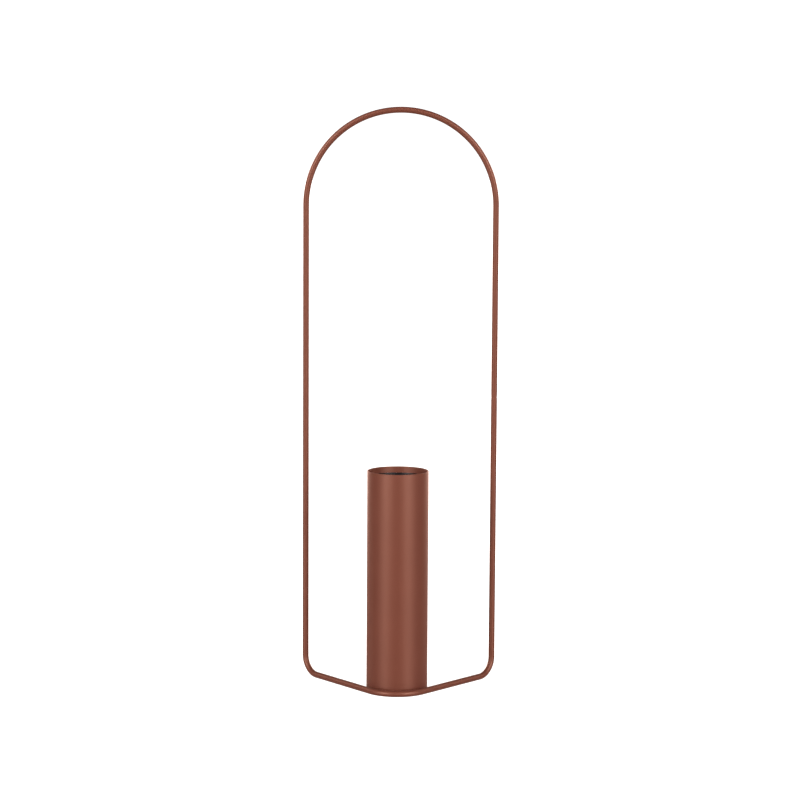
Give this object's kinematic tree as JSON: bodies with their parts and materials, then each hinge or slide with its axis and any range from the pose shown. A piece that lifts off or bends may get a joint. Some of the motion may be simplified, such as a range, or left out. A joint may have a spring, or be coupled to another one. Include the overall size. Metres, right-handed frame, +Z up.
{
  "type": "floor vase",
  "caption": "Tall floor vase: a slim upright tube with a lift-out liner, held in the bow of a bent rod frame that rises behind it as a round-topped hoop.",
  "frame": {"origin": "on the floor, in the middle of the footprint's bounding rectangle", "axes": "+Z up along the tube and the uprights; -Y is the front, where the bow wraps the tube; +X runs across the hoop to the right, seen from the front"},
  "size_m": [0.258, 0.13, 0.76],
  "materials": {
    "powder_coat": "fine-textured matte terracotta powder coat on steel",
    "liner_plastic": "black moulded plastic, satin inside with a smooth rim",
    "bumper_rubber": "milky translucent soft pad"
  },
  "bodies": {
    "vase": {"frame_rod": "powder_coat", "frame_seam_weld": "powder_coat", "vase_tube": "powder_coat", "base_disc": "powder_coat", "bumper_1": "bumper_rubber", "bumper_2": "bumper_rubber", "bumper_3": "bumper_rubber", "bow_weld_1": "powder_coat", "bow_weld_2": "powder_coat", "bow_weld_3": "powder_coat", "base_weld_1": "powder_coat", "base_weld_2": "powder_coat", "base_weld_3": "powder_coat", "base_weld_4": "powder_coat"},
    "liner": {"liner": "liner_plastic"}
  },
  "joints": [
    {"name": "liner_lift", "type": "slide", "parent": "vase", "child": "liner", "axis": [0, 0, 1], "range_m": [0, 0.3]}
  ]
}
